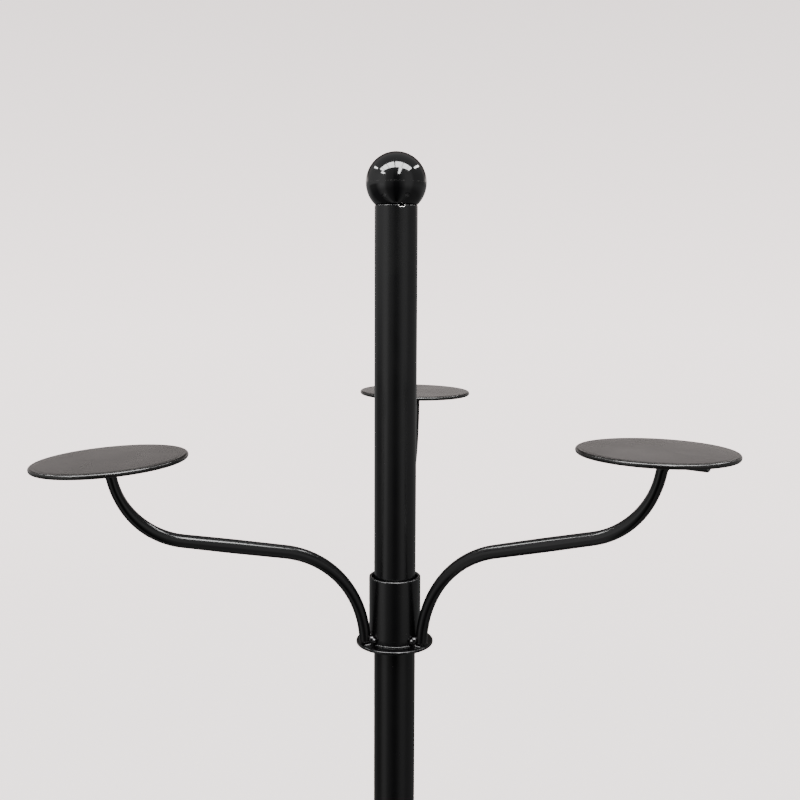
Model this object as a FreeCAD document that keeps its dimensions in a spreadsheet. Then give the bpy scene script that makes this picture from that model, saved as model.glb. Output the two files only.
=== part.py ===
# Three-armed candelabra stand: a steel pole on a round foot, a ball on top, and a tier that turns.
# Millimetres, +Z up, origin on the pole's axis where the rubber feet rest.
import FreeCAD, Part
import math
import os

import Sketcher

os.makedirs("parts", exist_ok=True)
doc = FreeCAD.newDocument("candelabra")
sheet = doc.addObject("Spreadsheet::Sheet", "sizes")

ORIGIN = (-1, 1)
HORIZONTAL_AXIS = -1
VERTICAL_AXIS = -2

# ---------------------------------------------------------------- driving dimensions

dimensions = {
    # foot of the stand
    "foot_height": 8.0,
    "foot_radius": 13.0,
    "foot_top_radius": 14.5,
    "foot_circle": 118.0,
    "foot_count": 4,
    "base_radius": 140.0,
    "base_thickness": 6.0,
    "base_edge": 2.0,
    "counterbore_radius": 13.0,
    "counterbore_depth": 3.0,
    "bolt_radius": 5.0,
    "bolt_clearance": 0.25,
    "bolt_length": 24.0,
    "bolt_head_flats": 17.0,
    "bolt_head_height": 6.4,
    "washer_radius": 10.5,
    "washer_thickness": 1.6,
    "end_plug_height": 18.0,
    "socket_radius": 24.0,
    "socket_height": 28.0,
    "base_weld_leg": 4.0,
    # pole
    "pole_radius": 19.0,
    "pole_wall": 1.5,
    "tier_height": 352.0,
    "joint_above_tier": 30.0,
    "pole_top_above_tier": 397.7,
    "joiner_half": 40.0,
    "joiner_wall": 2.0,
    "joiner_play": 0.05,
    "notch_width": 5.8,
    "notch_depth": 2.5,
    "notch_corner": 1.2,
    "notch_clearance": 3.0,
    "notch_azimuth": -75.0,
    # what the tier rests on
    "ring_radius": 22.0,
    "ring_height": 3.5,
    "slide_washer_height": 1.5,
    "running_gap": 0.3,
    # ball on top
    "ball_radius": 26.8,
    "ball_above_pole": 19.4,
    "finial_plug_drop": 7.0,
    "finial_plug_height": 10.0,
    "stud_radius": 4.0,
    "stud_length": 30.0,
    "insert_radius": 6.0,
    "insert_length": 22.0,
    "insert_recess": 0.8,
    # hub of the tier
    "sleeve_inner": 21.0,
    "sleeve_radius": 23.6,
    "sleeve_height": 60.5,
    "sleeve_edge": 1.2,
    "flange_radius": 35.4,
    "flange_thickness": 3.0,
    "flange_edge": 1.2,
    "hub_weld_leg": 2.6,
    # arms and plates
    "arm_radius": 5.5,
    "arm_foot_reach": 30.0,
    "arm_reach": 288.0,
    "arm_end_bend": 10.0,
    "arm_end_edge": 1.0,
    "arm_weld_reach": 26.0,
    "arm_weld_radius": 7.5,
    "arm_weld_top_radius": 4.0,
    "arm_weld_height": 10.0,
    "plate_radius": 61.9,
    "plate_thickness": 4.0,
    "plate_edge": 1.8,
    "plate_seat": 1.5,
    "plate_weld_start": 266.0,
    "plate_weld_length": 18.0,
    "plate_weld_half_width": 6.5,
    "plate_weld_height": 3.0,
    "plate_weld_gap": 0.03,
}

# The arms are bent by hand on one jig, so each comes out a little different.
arm_columns = ("azimuth", "bend", "slope", "run", "rise_bend", "rise_angle", "droop", "tilt", "plate_reach")
arm_rows = {
    "left": (206.3, 97.8, 12.56, 91.0, 74.4, 78.2, 3.5, 1.1, 252.9),
    "right": (-36.2, 104.3, 15.97, 94.5, 77.5, 80.0, 0.3, -0.9, 247.3),
    "back": (85.0, 103.0, 15.7, 94.0, 76.3, 80.0, 0.0, 0.6, 251.6),
}
for side, row in arm_rows.items():
    for column, number in zip(arm_columns, row):
        dimensions[side + "_" + column] = number

for line, (alias, number) in enumerate(dimensions.items(), start=1):
    sheet.set("A%d" % line, alias)
    sheet.set("B%d" % line, str(number))
    sheet.setAlias("B%d" % line, alias)
doc.recompute()


def size(alias):
    return float(sheet.get(alias))


# ---------------------------------------------------------------- building blocks

parts = {}


def keep(label, piece, placement=None):
    # registers a finished sub-part under its own name
    piece.Label = label
    if placement is not None:
        piece.Placement = placement
    parts[label] = piece
    return piece


def at_height(height, turn=0.0):
    up = FreeCAD.Vector(0, 0, height)
    return FreeCAD.Placement(up, FreeCAD.Rotation(FreeCAD.Vector(0, 0, 1), turn))


def sketch_on(body, role, name):
    plane = [item for item in body.Origin.OriginFeatures if item.Role == role][0]
    sketch = body.newObject("Sketcher::SketchObject", name)
    sketch.AttachmentSupport = [(plane, "")]
    sketch.MapMode = "FlatFace"
    return sketch


def bind(sketch, name, expression, *constraint):
    # adds a dimension whose value follows the sheet
    index = sketch.addConstraint(Sketcher.Constraint(*constraint))
    sketch.renameConstraint(index, name)
    sketch.setExpression("Constraints." + name, expression)


def arc(centre, radius, start, end):
    circle = Part.Circle(centre, FreeCAD.Vector(0, 0, 1), radius)
    return Part.ArcOfCircle(circle, start, end)


def outline_sketch(body, name, outline):
    # closed outline of straight lines; each corner is a (distance from axis, height) pair of formulas
    sketch = sketch_on(body, "XZ_Plane", name)
    count = len(outline)
    start_points = []
    for index in range(count):
        angle = 2 * math.pi * index / count
        start_points.append(FreeCAD.Vector(60 + 30 * math.cos(angle), 60 + 30 * math.sin(angle), 0))
    for index in range(count):
        sketch.addGeometry(Part.LineSegment(start_points[index], start_points[(index + 1) % count]))
    for index in range(count):
        sketch.addConstraint(Sketcher.Constraint("Coincident", index, 2, (index + 1) % count, 1))
    for index, (across, up) in enumerate(outline):
        if across == "0":
            sketch.addConstraint(Sketcher.Constraint("PointOnObject", index, 1, VERTICAL_AXIS))
        else:
            bind(sketch, "across_%d" % index, across, "DistanceX", *ORIGIN, index, 1, 1.0)
        if up == "0":
            sketch.addConstraint(Sketcher.Constraint("PointOnObject", index, 1, HORIZONTAL_AXIS))
        else:
            bind(sketch, "up_%d" % index, up, "DistanceY", *ORIGIN, index, 1, 1.0)
    return sketch


def turned(label, outline, placement=None):
    # a piece turned about its own Z axis
    body = doc.addObject("PartDesign::Body", label)
    sketch = outline_sketch(body, label + "_outline", outline)
    turning = body.newObject("PartDesign::Revolution", label + "_turned")
    turning.Profile = sketch
    turning.ReferenceAxis = (sketch, ["V_Axis"])
    turning.Angle = 360
    sketch.Visibility = False
    return keep(label, body, placement)


def ring_outline(inner, outer, height):
    return [(inner, "0"), (outer, "0"), (outer, height), (inner, height)]


def circle_names(shape, wanted):
    # names of the full-circle edges that the test accepts
    names = []
    for index, edge in enumerate(shape.Edges, start=1):
        if isinstance(edge.Curve, Part.Circle) and wanted(edge.Curve):
            names.append("Edge%d" % index)
    return names


def near(first, second):
    return abs(first - second) < 0.001


def rounded(body, radius, wanted):
    # rounds the circular edges that the test picks from the body's last feature
    doc.recompute()
    last = body.Tip
    rounding = body.newObject("PartDesign::Fillet", body.Name + "_rounding")
    rounding.Base = (last, circle_names(last.Shape, wanted))
    rounding.setExpression("Radius", radius)
    return rounding


def primitive(kind, name, placement=None, **sizes):
    # a Part primitive whose sizes follow the sheet
    item = doc.addObject("Part::" + kind, name)
    for prop, expression in sizes.items():
        item.setExpression(prop, expression)
    if placement is not None:
        item.Placement = placement
    return item


def combine(kind, name, base, tool):
    item = doc.addObject("Part::" + kind, name)
    item.Base = base
    item.Tool = tool
    return item


# ---------------------------------------------------------------- foot of the stand

base_bottom = size("foot_height")
base_top = base_bottom + size("base_thickness")

feet = []
for index in range(int(size("foot_count"))):
    angle = math.radians(45 + 360 * index / size("foot_count"))
    spot = FreeCAD.Vector(math.cos(angle), math.sin(angle), 0) * size("foot_circle")
    foot_place = FreeCAD.Placement(spot, FreeCAD.Rotation())
    feet.append(primitive("Cone", "rubber_foot_%d" % index, foot_place, Radius1="sizes.foot_radius",
                          Radius2="sizes.foot_top_radius", Height="sizes.foot_height"))
feet_group = doc.addObject("Part::Compound", "rubber_feet")
feet_group.Links = feet
keep("rubber_feet", feet_group)

bolt_hole = "sizes.bolt_radius + sizes.bolt_clearance"
base_plate = turned("base_plate", [
    ("sizes.counterbore_radius", "0"),
    ("sizes.base_radius", "0"),
    ("sizes.base_radius", "sizes.base_thickness"),
    (bolt_hole, "sizes.base_thickness"),
    (bolt_hole, "sizes.counterbore_depth"),
    ("sizes.counterbore_radius", "sizes.counterbore_depth"),
], at_height(base_bottom))
rounded(base_plate, "sizes.base_edge",
        lambda circle: near(circle.Radius, size("base_radius")) and circle.Center.z > size("base_edge"))

turned("base_socket", ring_outline("sizes.pole_radius", "sizes.socket_radius", "sizes.socket_height"),
       at_height(base_top))
turned("base_weld", [
    ("sizes.socket_radius", "0"),
    ("sizes.socket_radius + sizes.base_weld_leg", "0"),
    ("sizes.socket_radius", "sizes.base_weld_leg"),
], at_height(base_top))

tube_bore = "sizes.pole_radius - sizes.pole_wall"
turned("pole_end_plug", ring_outline("sizes.bolt_radius", tube_bore, "sizes.end_plug_height"),
       at_height(base_top))

washer_bottom = base_bottom + size("counterbore_depth") - size("washer_thickness")
turned("base_washer", ring_outline(bolt_hole, "sizes.washer_radius", "sizes.washer_thickness"),
       at_height(washer_bottom))

head = primitive("Prism", "bolt_head", at_height(washer_bottom - size("bolt_head_height")),
                 Circumradius="sizes.bolt_head_flats / 2 / cos(30 deg)", Height="sizes.bolt_head_height")
head.Polygon = 6
shank = primitive("Cylinder", "bolt_shank", at_height(washer_bottom), Radius="sizes.bolt_radius",
                  Height="sizes.bolt_length")
keep("base_bolt", combine("Fuse", "base_bolt", head, shank))

# ---------------------------------------------------------------- pole

flange_bottom = size("tier_height")
pole_joint = flange_bottom + size("joint_above_tier")
pole_top = flange_bottom + size("pole_top_above_tier")

lower_length = "sizes.tier_height + sizes.joint_above_tier - sizes.foot_height - sizes.base_thickness"
upper_length = "sizes.pole_top_above_tier - sizes.joint_above_tier"

turned("lower_pole", ring_outline(tube_bore, "sizes.pole_radius", lower_length), at_height(base_top))
joiner_outer = tube_bore + " - sizes.joiner_play"
turned("pole_joiner", ring_outline(joiner_outer + " - sizes.joiner_wall", joiner_outer,
                                   "2 * sizes.joiner_half"),
       at_height(pole_joint - size("joiner_half")))

upper_pole = turned("upper_pole", ring_outline(tube_bore, "sizes.pole_radius", upper_length),
                    at_height(pole_joint, size("notch_azimuth") + 90))
doc.recompute()
plain_tube_volume = upper_pole.Shape.Volume

# U-shaped notch in the top edge, cut through one wall only
notch = sketch_on(upper_pole, "XZ_Plane", "notch_outline")
half = size("notch_width") / 2
corner = size("notch_corner")
rim = size("pole_top_above_tier") - size("joint_above_tier")
notch_bottom = rim - size("notch_depth")
clear_height = rim + size("notch_clearance")
left_centre = FreeCAD.Vector(corner - half, notch_bottom + corner, 0)
right_centre = FreeCAD.Vector(half - corner, notch_bottom + corner, 0)
side_left = notch.addGeometry(Part.LineSegment(FreeCAD.Vector(-half, clear_height, 0),
                                               left_centre - FreeCAD.Vector(corner, 0, 0)))
round_left = notch.addGeometry(arc(left_centre, corner, math.pi, 1.5 * math.pi))
floor = notch.addGeometry(Part.LineSegment(left_centre - FreeCAD.Vector(0, corner, 0),
                                           right_centre - FreeCAD.Vector(0, corner, 0)))
round_right = notch.addGeometry(arc(right_centre, corner, 1.5 * math.pi, 2 * math.pi))
side_right = notch.addGeometry(Part.LineSegment(right_centre + FreeCAD.Vector(corner, 0, 0),
                                                FreeCAD.Vector(half, clear_height, 0)))
lid = notch.addGeometry(Part.LineSegment(FreeCAD.Vector(half, clear_height, 0),
                                         FreeCAD.Vector(-half, clear_height, 0)))
for first, second in ((side_left, round_left), (round_left, floor), (floor, round_right),
                      (round_right, side_right)):
    notch.addConstraint(Sketcher.Constraint("Tangent", first, 2, second, 1))
notch.addConstraint(Sketcher.Constraint("Coincident", side_right, 2, lid, 1))
notch.addConstraint(Sketcher.Constraint("Coincident", lid, 2, side_left, 1))
notch.addConstraint(Sketcher.Constraint("Vertical", side_left))
notch.addConstraint(Sketcher.Constraint("Vertical", side_right))
notch.addConstraint(Sketcher.Constraint("Horizontal", floor))
notch.addConstraint(Sketcher.Constraint("Equal", round_left, round_right))
notch.addConstraint(Sketcher.Constraint("Symmetric", side_left, 1, side_right, 2, VERTICAL_AXIS))
bind(notch, "corner", "sizes.notch_corner", "Radius", round_left, corner)
bind(notch, "half_width", "sizes.notch_width / 2", "DistanceX", *ORIGIN, side_right, 2, half)
bind(notch, "bottom", upper_length + " - sizes.notch_depth", "DistanceY", *ORIGIN, floor, 1, notch_bottom)
bind(notch, "clear_height", upper_length + " + sizes.notch_clearance",
     "DistanceY", *ORIGIN, side_right, 2, clear_height)
notch_cut = upper_pole.newObject("PartDesign::Pocket", "notch_cut")
notch_cut.Profile = notch
notch_cut.Reversed = True
notch_cut.setExpression("Length", "sizes.pole_radius + sizes.pole_wall")
doc.recompute()
if upper_pole.Shape.Volume > plain_tube_volume - size("notch_width"):
    raise RuntimeError("the notch cut nothing from the upper pole")

turned("stop_ring", ring_outline("sizes.pole_radius", "sizes.ring_radius", "sizes.ring_height"),
       at_height(flange_bottom - size("slide_washer_height") - size("ring_height")))
turned("slide_washer", ring_outline("sizes.pole_radius + sizes.running_gap", "sizes.ring_radius",
                                    "sizes.slide_washer_height"),
       at_height(flange_bottom - size("slide_washer_height")))

# ---------------------------------------------------------------- ball on top

plug_bottom = pole_top - size("finial_plug_drop") - size("finial_plug_height")
turned("finial_plug", ring_outline("sizes.stud_radius", tube_bore, "sizes.finial_plug_height"),
       at_height(plug_bottom))
turned("finial_stud", [
    ("0", "0"),
    ("sizes.stud_radius", "0"),
    ("sizes.stud_radius", "sizes.stud_length"),
    ("0", "sizes.stud_length"),
], at_height(plug_bottom))

# the ball is cut flat underneath and sits on the tube's end
insert_bottom = pole_top + size("insert_recess")
turned("finial_insert", ring_outline("sizes.stud_radius", "sizes.insert_radius", "sizes.insert_length"),
       at_height(insert_bottom))
ball = primitive("Sphere", "ball_blank", at_height(pole_top + size("ball_above_pole")),
                 Radius="sizes.ball_radius", Angle1="-asin(sizes.ball_above_pole / sizes.ball_radius)")
ball_bore = primitive("Cylinder", "ball_bore", at_height(pole_top),
                      Radius="sizes.insert_radius", Height="sizes.insert_recess + sizes.insert_length")
keep("finial_ball", combine("Cut", "finial_ball", ball, ball_bore))

# ---------------------------------------------------------------- hub of the tier

flange_top = flange_bottom + size("flange_thickness")

hub_flange = turned("hub_flange", ring_outline("sizes.pole_radius + sizes.running_gap",
                                               "sizes.flange_radius", "sizes.flange_thickness"),
                    at_height(flange_bottom))
rounded(hub_flange, "sizes.flange_edge", lambda circle: near(circle.Radius, size("flange_radius")))

hub_sleeve = turned("hub_sleeve", ring_outline("sizes.sleeve_inner", "sizes.sleeve_radius",
                                               "sizes.sleeve_height"),
                    at_height(flange_top))
rounded(hub_sleeve, "sizes.sleeve_edge", lambda circle: near(circle.Center.z, size("sleeve_height")))

# ---------------------------------------------------------------- arms


def along_arm(side):
    # corner points of the arm's centre line, in the arm's own upright plane
    slope = math.radians(size(side + "_slope"))
    rise = math.radians(size(side + "_rise_angle"))
    droop = math.radians(size(side + "_droop"))
    bend, run, rise_bend = size(side + "_bend"), size(side + "_run"), size(side + "_rise_bend")
    end_bend = size("arm_end_bend")
    foot = FreeCAD.Vector(size("arm_foot_reach"), 0, 0)
    first_centre = foot + FreeCAD.Vector(bend, 0, 0)
    run_start = first_centre + FreeCAD.Vector(-math.sin(slope), math.cos(slope), 0) * bend
    run_end = run_start + FreeCAD.Vector(math.cos(slope), math.sin(slope), 0) * run
    second_centre = run_end + FreeCAD.Vector(-math.sin(slope), math.cos(slope), 0) * rise_bend
    rise_end = second_centre + FreeCAD.Vector(math.sin(rise), -math.cos(rise), 0) * rise_bend
    third_centre = rise_end + FreeCAD.Vector(math.sin(rise), -math.cos(rise), 0) * end_bend
    tail_start = third_centre + FreeCAD.Vector(math.sin(droop), math.cos(droop), 0) * end_bend
    tail_length = (size("arm_reach") - tail_start.x) / math.cos(droop)
    tail_end = tail_start + FreeCAD.Vector(math.cos(droop), -math.sin(droop), 0) * tail_length
    return {
        "first_centre": first_centre, "run_start": run_start, "run_end": run_end,
        "second_centre": second_centre, "third_centre": third_centre,
        "tail_start": tail_start, "tail_end": tail_end,
        "slope": slope, "rise": rise, "droop": droop,
    }


def arm_centre_line(body, side):
    # foot bend, sloping run, bend up to the plate, tight bend outwards, and a straight tail
    route = along_arm(side)
    quarter = math.pi / 2
    sketch = sketch_on(body, "XZ_Plane", side + "_centre_line")
    first = sketch.addGeometry(arc(route["first_centre"], size(side + "_bend"),
                                   quarter + route["slope"], math.pi))
    run = sketch.addGeometry(Part.LineSegment(route["run_start"], route["run_end"]))
    second = sketch.addGeometry(arc(route["second_centre"], size(side + "_rise_bend"),
                                    route["slope"] - quarter, route["rise"] - quarter))
    third = sketch.addGeometry(arc(route["third_centre"], size("arm_end_bend"),
                                   quarter - route["droop"], quarter + route["rise"]))
    tail = sketch.addGeometry(Part.LineSegment(route["tail_start"], route["tail_end"]))
    sketch.addConstraint(Sketcher.Constraint("PointOnObject", first, 2, HORIZONTAL_AXIS))
    sketch.addConstraint(Sketcher.Constraint("PointOnObject", first, 3, HORIZONTAL_AXIS))
    sketch.addConstraint(Sketcher.Constraint("Tangent", first, 1, run, 1))
    sketch.addConstraint(Sketcher.Constraint("Tangent", run, 2, second, 1))
    sketch.addConstraint(Sketcher.Constraint("Tangent", second, 2, third, 2))
    sketch.addConstraint(Sketcher.Constraint("Tangent", third, 1, tail, 1))
    bind(sketch, "foot_reach", "sizes.arm_foot_reach", "DistanceX", *ORIGIN, first, 2,
         size("arm_foot_reach"))
    bind(sketch, "bend", "sizes.%s_bend" % side, "Radius", first, size(side + "_bend"))
    bind(sketch, "bend_turn", "90 - sizes.%s_slope" % side, "Angle", first, quarter - route["slope"])
    bind(sketch, "run", "sizes.%s_run" % side, "Distance", run, size(side + "_run"))
    bind(sketch, "rise_bend", "sizes.%s_rise_bend" % side, "Radius", second, size(side + "_rise_bend"))
    bind(sketch, "rise_turn", "sizes.{0}_rise_angle - sizes.{0}_slope".format(side), "Angle", second,
         route["rise"] - route["slope"])
    bind(sketch, "end_bend", "sizes.arm_end_bend", "Radius", third, size("arm_end_bend"))
    bind(sketch, "end_turn", "sizes.{0}_rise_angle + sizes.{0}_droop".format(side), "Angle", third,
         route["rise"] + route["droop"])
    bind(sketch, "reach", "sizes.arm_reach", "DistanceX", *ORIGIN, tail, 2, size("arm_reach"))
    return sketch


def bent_arm(side):
    body = doc.addObject("PartDesign::Body", side + "_bar")
    section = sketch_on(body, "XY_Plane", side + "_section")
    foot = FreeCAD.Vector(size("arm_foot_reach"), 0, 0)
    section.addGeometry(Part.Circle(foot, FreeCAD.Vector(0, 0, 1), size("arm_radius")))
    section.addConstraint(Sketcher.Constraint("PointOnObject", 0, 3, HORIZONTAL_AXIS))
    bind(section, "foot_reach", "sizes.arm_foot_reach", "DistanceX", *ORIGIN, 0, 3,
         size("arm_foot_reach"))
    bind(section, "radius", "sizes.arm_radius", "Radius", 0, size("arm_radius"))
    pipe = body.newObject("PartDesign::AdditivePipe", side + "_rod")
    pipe.Profile = section
    pipe.Spine = (arm_centre_line(body, side), [])
    body.Tip = pipe
    tail_end = size("arm_reach")
    rounded(body, "sizes.arm_end_edge", lambda circle: near(circle.Center.x, tail_end))
    body.Placement = at_height(flange_top, size(side + "_azimuth"))
    return body


def plate_place(side):
    # a plate's underside sits in a flat on the tail of its arm, whatever way the tail points
    route = along_arm(side)
    droop = route["droop"]
    reach = size(side + "_plate_reach")
    axis_height = route["tail_end"].y + (route["tail_end"].x - reach) * math.tan(droop)
    axis_point = FreeCAD.Vector(reach, 0, axis_height)
    tip = FreeCAD.Rotation(FreeCAD.Vector(0, 1, 0), math.degrees(droop))
    roll = FreeCAD.Rotation(FreeCAD.Vector(1, 0, 0), size(side + "_tilt"))
    leaning = tip.multiply(roll)
    underside = axis_point + leaning.multVec(FreeCAD.Vector(0, 0, size("arm_radius") - size("plate_seat")))
    return at_height(flange_top, size(side + "_azimuth")).multiply(FreeCAD.Placement(underside, leaning))


def arm_weld(side, arm):
    # lump of weld in the corner between the arm's foot, the sleeve and the flange
    label = "arm_weld_" + side
    arm_place = at_height(flange_top, size(side + "_azimuth"))
    spot = FreeCAD.Placement(FreeCAD.Vector(size("arm_weld_reach"), 0, 0), FreeCAD.Rotation())
    lump = primitive("Cone", label + "_lump", arm_place.multiply(spot), Radius1="sizes.arm_weld_radius",
                     Radius2="sizes.arm_weld_top_radius", Height="sizes.arm_weld_height")
    core = primitive("Cylinder", label + "_core", at_height(flange_top), Radius="sizes.sleeve_radius",
                     Height="sizes.sleeve_height")
    beside_sleeve = combine("Cut", label + "_beside_sleeve", lump, core)
    keep(label, combine("Cut", label, beside_sleeve, arm))
    return lump


def plate_weld(side, plate_frame):
    # two beads in the corners between the arm's tail and the plate
    label = "plate_weld_" + side
    start = size("plate_weld_start") - size(side + "_plate_reach")
    corner = FreeCAD.Vector(start, -size("plate_weld_half_width"), -size("plate_weld_height"))
    bar = primitive("Box", label + "_bar",
                    plate_frame.multiply(FreeCAD.Placement(corner, FreeCAD.Rotation())),
                    Length="sizes.plate_weld_length", Width="2 * sizes.plate_weld_half_width",
                    Height="sizes.plate_weld_height")
    lengthways = FreeCAD.Rotation(FreeCAD.Vector(0, 1, 0), 90)
    axis_start = FreeCAD.Vector(start, 0, size("plate_seat") - size("arm_radius"))
    tail = primitive("Cylinder", label + "_tail",
                     plate_frame.multiply(FreeCAD.Placement(axis_start, lengthways)),
                     Radius="sizes.arm_radius + sizes.plate_weld_gap", Height="sizes.plate_weld_length")
    keep(label, combine("Cut", label, bar, tail))


lumps = []
for side in arm_rows:
    bar = bent_arm(side)
    lumps.append(arm_weld(side, bar))
    plate_frame = plate_place(side)
    plate = turned("plate_" + side, [
        ("0", "0"),
        ("sizes.plate_radius", "0"),
        ("sizes.plate_radius", "sizes.plate_thickness"),
        ("0", "sizes.plate_thickness"),
    ], plate_frame)
    rounded(plate, "sizes.plate_edge", lambda circle: near(circle.Radius, size("plate_radius")))
    keep("arm_" + side, combine("Cut", "arm_" + side, bar, plate))
    plate_weld(side, plate_frame)

# fillet weld round the foot of the sleeve, stopping at each arm
hub_bead = primitive("Cone", "hub_bead", at_height(flange_top),
                     Radius1="sizes.sleeve_radius + sizes.hub_weld_leg", Radius2="sizes.sleeve_radius",
                     Height="sizes.hub_weld_leg")
hub_core = primitive("Cylinder", "hub_core", at_height(flange_top), Radius="sizes.sleeve_radius",
                     Height="sizes.hub_weld_leg")
hub_ring = combine("Cut", "hub_ring", hub_bead, hub_core)
for index, lump in enumerate(lumps):
    hub_ring = combine("Cut", "hub_weld_%d" % index, hub_ring, lump)
keep("hub_weld", hub_ring)

# ---------------------------------------------------------------- check and write

doc.recompute()
for item in doc.Objects:
    if "Invalid" in item.State or "Error" in item.State:
        raise RuntimeError("%s did not compute: %s" % (item.Name, item.State))
for label, piece in parts.items():
    if piece.Shape.isNull() or not piece.Shape.isValid():
        raise RuntimeError("%s has no valid shape" % label)

for label, piece in parts.items():
    piece.Shape.exportStep("parts/%s.step" % label)
    box = piece.Shape.BoundBox
    print("%-18s solids %d  z %.1f to %.1f  volume %.0f"
          % (label, len(piece.Shape.Solids), box.ZMin, box.ZMax, piece.Shape.Volume))
for side in arm_rows:
    top = plate_place(side).multVec(FreeCAD.Vector(0, 0, size("plate_thickness")))
    print("plate %s top centre %.1f above the flange" % (side, top.z - flange_bottom))
print("%d sub-parts" % len(parts))
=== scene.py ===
import math
import random

import bmesh
import bpy
from mathutils import Matrix, Vector


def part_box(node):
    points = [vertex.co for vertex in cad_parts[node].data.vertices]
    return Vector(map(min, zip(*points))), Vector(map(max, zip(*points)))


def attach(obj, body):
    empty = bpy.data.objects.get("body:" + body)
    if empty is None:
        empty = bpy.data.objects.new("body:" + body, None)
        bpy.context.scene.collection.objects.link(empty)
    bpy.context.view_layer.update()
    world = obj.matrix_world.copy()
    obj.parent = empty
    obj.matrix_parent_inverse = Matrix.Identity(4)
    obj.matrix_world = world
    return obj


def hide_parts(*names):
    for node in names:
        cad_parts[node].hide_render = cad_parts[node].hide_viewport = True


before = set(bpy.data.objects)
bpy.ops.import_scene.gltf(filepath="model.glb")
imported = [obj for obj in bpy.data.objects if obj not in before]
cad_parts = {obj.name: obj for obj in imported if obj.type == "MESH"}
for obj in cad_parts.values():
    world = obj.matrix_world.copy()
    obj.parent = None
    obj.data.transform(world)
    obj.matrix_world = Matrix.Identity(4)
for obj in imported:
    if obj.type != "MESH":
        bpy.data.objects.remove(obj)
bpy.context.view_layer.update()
mm = 0.001
upAxis = Vector((0, 0, 1))
print("frame loaded:", len(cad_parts), "nodes")


def low(node):
    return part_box(node)[0]


def high(node):
    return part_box(node)[1]


def radiusOf(node):
    # half the width of a round node that stands on the pole's axis
    return high(node).x


# Camera

cameraView = {
    "distance": 928.27,       # mm in front of the pole
    "aboveFlange": 345.69,    # mm above the underside of the hub flange
    "pitchDown": 7.38,        # degrees
    "yawRight": 0.25,
    "roll": 0.25,
    "lens": 46.93,            # mm, on a 36 mm sensor
}


def addCamera(view):
    data = bpy.data.cameras.new("camera")
    data.sensor_width = 36
    data.lens = view["lens"]
    data.clip_start = 0.01
    camera = bpy.data.objects.new("camera", data)
    spot = Vector((0, -view["distance"] * mm, low("hub_flange").z + view["aboveFlange"] * mm))
    yaw = Matrix.Rotation(math.radians(-view["yawRight"]), 4, "Z")
    pitch = Matrix.Rotation(math.radians(90 - view["pitchDown"]), 4, "X")
    roll = Matrix.Rotation(math.radians(view["roll"]), 4, "Z")
    camera.matrix_world = Matrix.Translation(spot) @ yaw @ pitch @ roll
    bpy.context.scene.collection.objects.link(camera)
    bpy.context.scene.camera = camera


addCamera(cameraView)
print("camera placed")


# Materials

def linearColour(text):
    # sRGB hex to the linear values that shaders take
    channels = [int(text[i:i + 2], 16) / 255 for i in (1, 3, 5)]
    linear = [c / 12.92 if c <= 0.04045 else ((c + 0.055) / 1.055) ** 2.4 for c in channels]
    return (*linear, 1.0)


def perMetre(sizeMm):
    # a texture scale whose features are about this many mm across
    return 1000 / sizeMm


def addNode(tree, kind, settings=None, links=None):
    # one node; settings go to a socket of that name or to a property of the node
    node = tree.nodes.new(kind)
    for name, value in (settings or {}).items():
        if isinstance(name, int) or name in node.inputs:
            node.inputs[name].default_value = value
        else:
            setattr(node, name, value)
    for name, source in (links or {}).items():
        tree.links.new(source, node.inputs[name])
    return node


def mixColours(tree, factor, first, second):
    return addNode(tree, "ShaderNodeMix", {"data_type": "RGBA", 6: linearColour(first),
                   7: linearColour(second)}, {0: factor})


def newMaterial(name):
    material = bpy.data.materials.new(name)
    material.use_nodes = True
    tree = material.node_tree
    tree.nodes.clear()
    return material, tree


def setRamp(node, stops):
    # stops are (position, colour); the ramp starts with two of its own
    elements = node.color_ramp.elements
    while len(elements) < len(stops):
        elements.new(0.5)
    for element, (position, colour) in zip(elements, stops):
        element.position = position
        element.color = colour


def grey(value):
    return (value, value, value, 1.0)


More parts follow.
